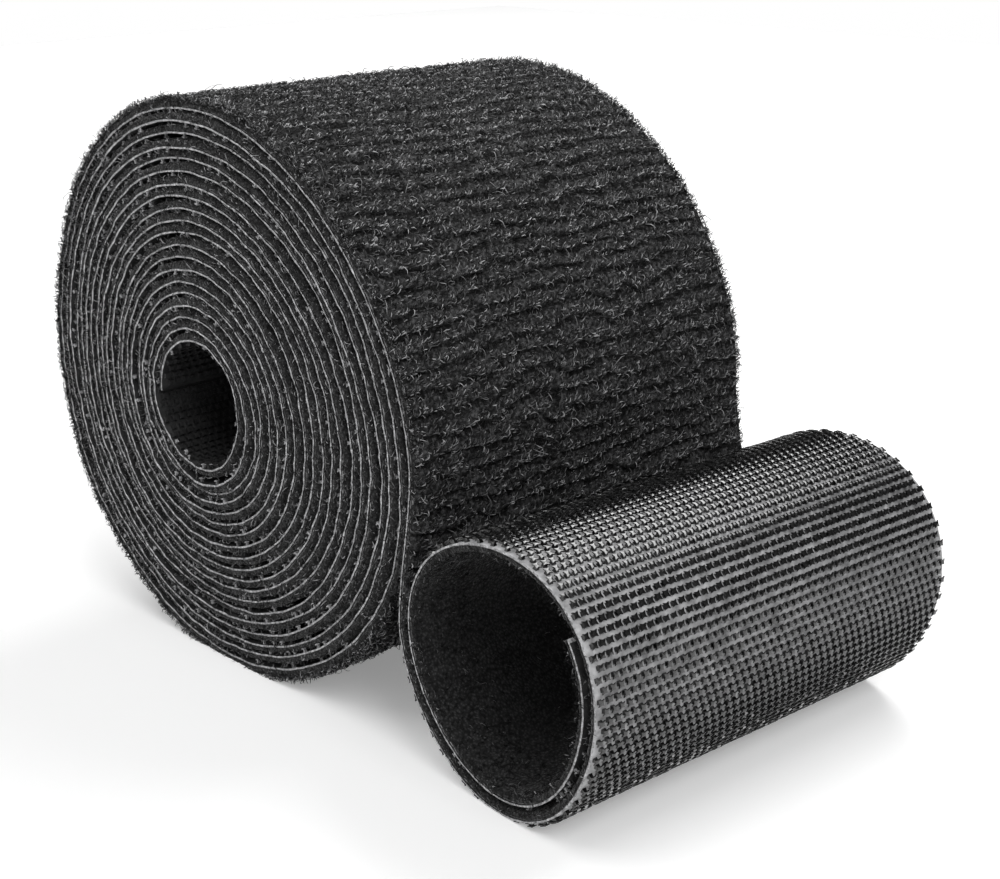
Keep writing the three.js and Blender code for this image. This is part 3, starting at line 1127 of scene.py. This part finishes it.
def add_floor():
    """A white floor that keeps the object's shadow: lit surfaces read as white, shaded ones as grey."""
    corners = [(-1, -1, 0), (1, -1, 0), (1, 1, 0), (-1, 1, 0)]
    material, tree, shader = new_material("floor")
    shader.inputs["Base Color"].default_value = (FLOOR_GREY, FLOOR_GREY, FLOOR_GREY, 1)
    set_finish(shader, roughness=0.9, specular=0.1)
    output = tree.nodes["Material Output"]
    glow = add_node(tree, "ShaderNodeEmission", Color=WHITE, Strength=FLOOR_GLOW)
    path = add_node(tree, "ShaderNodeLightPath")
    none = add_node(tree, "ShaderNodeEmission", Color=BLACK, Strength=0.0)
    mix = add_node(tree, "ShaderNodeMixShader")
    total = add_node(tree, "ShaderNodeAddShader")
    tree.links.new(path.outputs["Is Camera Ray"], mix.inputs[0])
    tree.links.new(none.outputs[0], mix.inputs[1])
    tree.links.new(glow.outputs[0], mix.inputs[2])
    tree.links.new(shader.outputs[0], total.inputs[0])
    tree.links.new(mix.outputs[0], total.inputs[1])
    tree.links.new(total.outputs[0], output.inputs["Surface"])
    floor = add_mesh("floor", FLOOR_HALF * np.array(corners), [np.array([[0, 1, 2, 3]])], [material])


def add_light(name, place, size, power, way=(0, 1, 0)):
    """A soft rectangle that faces the object, its second side along this way."""
    lamp = bpy.data.lights.new(name, "AREA")
    lamp.shape = "RECTANGLE"
    lamp.size, lamp.size_y = size
    lamp.energy = power
    light = bpy.data.objects.new(name, lamp)
    light.location = place
    back = (Vector(place) - Vector(LAMPS_AIM)).normalized()
    wide = Vector(way).cross(back).normalized()
    light.rotation_euler = Matrix((wide, back.cross(wide), back)).transposed().to_euler()
    bpy.context.scene.collection.objects.link(light)


def set_world():
    """The room lights the object, and is plain white to the camera."""
    world = bpy.data.worlds.new("studio")
    bpy.context.scene.world = world
    world.use_nodes = True
    tree = world.node_tree
    room = tree.nodes["Background"]
    room.inputs["Color"].default_value = WHITE
    direction = add_node(tree, "ShaderNodeTexCoord")
    parts = add_node(tree, "ShaderNodeSeparateXYZ")
    level = add_node(tree, "ShaderNodeMapRange", **ROOM_FRONT, **ROOM_BACK)
    path = add_node(tree, "ShaderNodeLightPath")
    white = add_node(tree, "ShaderNodeBackground", Color=WHITE, Strength=1.0)
    mix = add_node(tree, "ShaderNodeMixShader")
    tree.links.new(direction.outputs["Generated"], parts.inputs[0])
    tree.links.new(parts.outputs["Y"], level.inputs["Value"])
    tree.links.new(level.outputs["Result"], room.inputs["Strength"])
    tree.links.new(path.outputs["Is Camera Ray"], mix.inputs[0])
    tree.links.new(room.outputs[0], mix.inputs[1])
    tree.links.new(white.outputs[0], mix.inputs[2])
    tree.links.new(mix.outputs[0], tree.nodes["World Output"].inputs["Surface"])


# The camera, fitted to points on the photograph. Its image is 1000 by 879 pixels.
IMAGE_WIDTH = 1000
CAMERA_AZIMUTH = math.radians(55.115)
CAMERA_ELEVATION = math.radians(17.261)
CAMERA_DISTANCE = 5.9682 * ROLL_RADIUS
CAMERA_YAW = math.radians(-9.958)
CAMERA_PITCH = math.radians(1.502)
FOCAL_PIXELS = 1704.9
SENSOR_WIDTH = 36.0
NEAR_LIMIT = 0.01


def backward(azimuth, elevation):
    """The direction from the object to a camera at an azimuth and elevation. Azimuth 0 looks along +Y."""
    flat = math.cos(elevation)
    return Vector((math.sin(azimuth) * flat, -math.cos(azimuth) * flat, math.sin(elevation)))


def add_camera():
    data = bpy.data.cameras.new("camera")
    data.sensor_width = SENSOR_WIDTH
    data.lens = FOCAL_PIXELS / IMAGE_WIDTH * SENSOR_WIDTH
    data.clip_start = NEAR_LIMIT
    camera = bpy.data.objects.new("camera", data)
    front = roll_axis - Vector((0, HALF, 0))
    camera.location = front + backward(CAMERA_AZIMUTH, CAMERA_ELEVATION) * CAMERA_DISTANCE
    away = backward(CAMERA_AZIMUTH + CAMERA_YAW, CAMERA_ELEVATION + CAMERA_PITCH)
    right = Vector((0, 0, 1)).cross(away).normalized()
    up = away.cross(right)
    camera.rotation_euler = Matrix((right, up, away)).transposed().to_euler()
    bpy.context.scene.collection.objects.link(camera)
    bpy.context.scene.camera = camera


# The long lamp behind is mirrored by the heads on top of the small coil.
add_floor()
set_world()
add_light("behind", place=(-0.06, 0.56, 0.82), size=(1.0, 0.3), power=6.3, way=(0.25, 0.97, 0))
add_light("right_front", place=(0.68, -0.2, 0.7), size=(0.5, 0.5), power=3.8)
add_light("front_left", place=(-0.3, -0.3, 0.75), size=(0.6, 0.6), power=1.7)
add_camera()
bpy.context.scene.view_settings.view_transform = "Standard"
